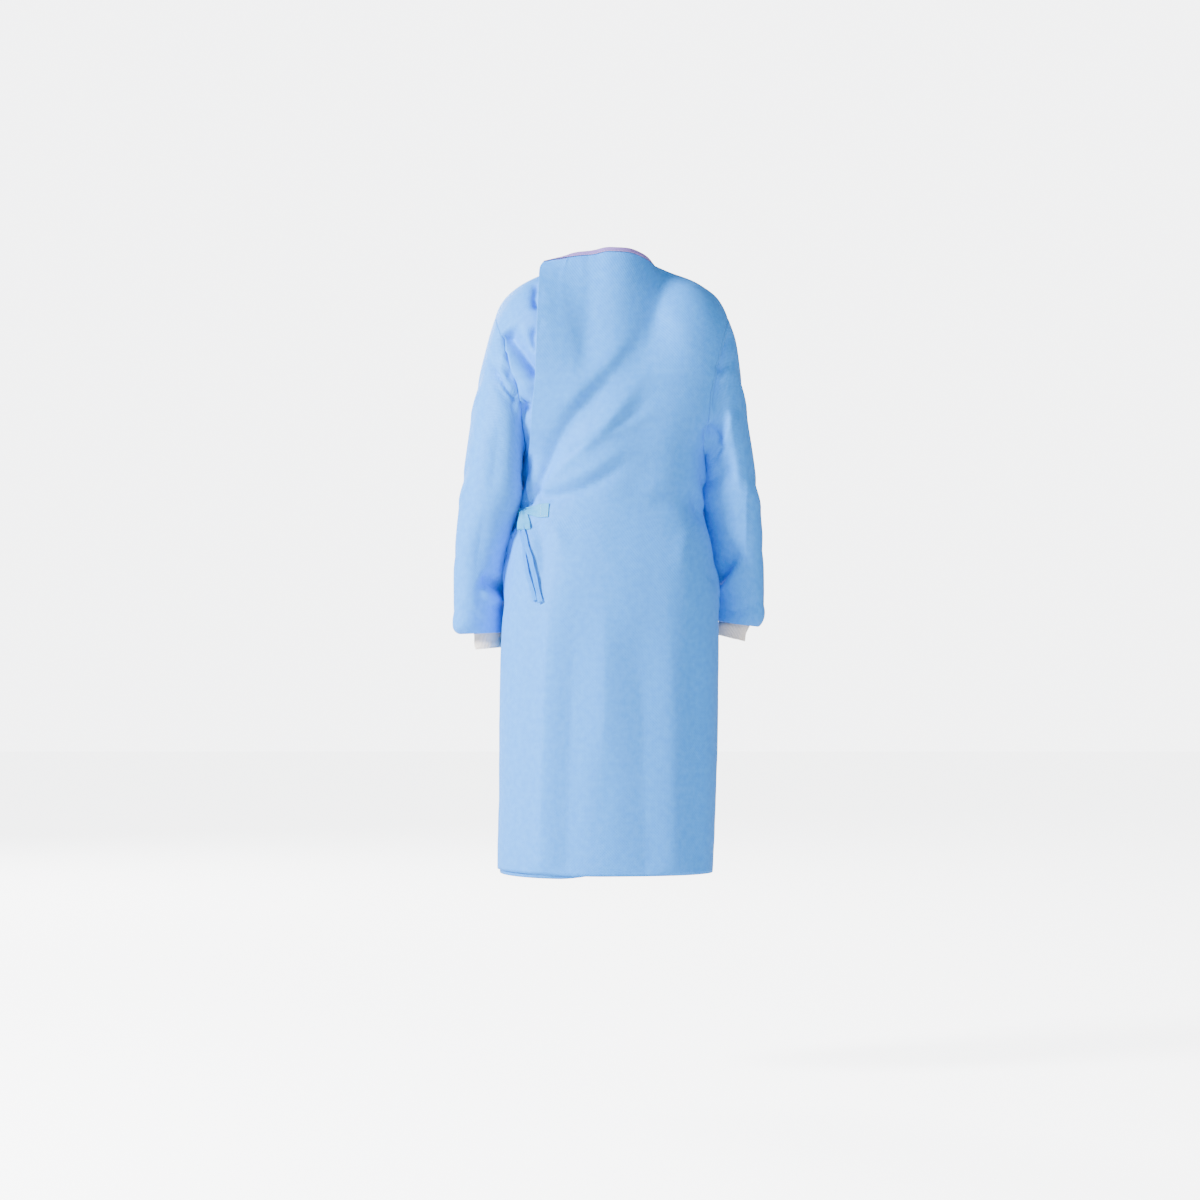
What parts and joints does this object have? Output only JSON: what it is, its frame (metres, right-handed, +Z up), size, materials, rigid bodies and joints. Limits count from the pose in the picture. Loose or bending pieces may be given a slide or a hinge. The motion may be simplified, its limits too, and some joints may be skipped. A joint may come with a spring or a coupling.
{
  "type": "surgical gown",
  "caption": "Nonwoven surgical gown as worn, with a wrap-over back tied at the left of the waist, long sleeves with knit cuffs and a bound neckline, open at neck, hem and cuffs.",
  "frame": {"origin": "between the shoulders at the base of the neck, where the wearer carries the gown", "axes": "+Z up along the wearer, -Y to the front, +X to the wearer's left"},
  "size_m": [0.563, 0.2788, 1.1168],
  "materials": {
    "sms_nonwoven_blue": "matte spunbond nonwoven",
    "tie_nonwoven_aqua": "matte folded nonwoven strip",
    "binding_lilac": "matte folded tape",
    "cuff_knit_white": "rib knit"
  },
  "bodies": {
    "root": {"flap_tie_patch": "tie_nonwoven_aqua", "front_panel": "sms_nonwoven_blue", "inner_back_panel": "sms_nonwoven_blue", "left_cuff": "cuff_knit_white", "left_sleeve": "sms_nonwoven_blue", "neck_binding": "binding_lilac", "outer_back_panel": "sms_nonwoven_blue", "right_cuff": "cuff_knit_white", "right_sleeve": "sms_nonwoven_blue", "side_tie": "tie_nonwoven_aqua", "tie_end_long": "tie_nonwoven_aqua", "tie_end_short": "tie_nonwoven_aqua", "tie_knot": "tie_nonwoven_aqua", "tie_loop": "tie_nonwoven_aqua"}
  },
  "joints": []
}
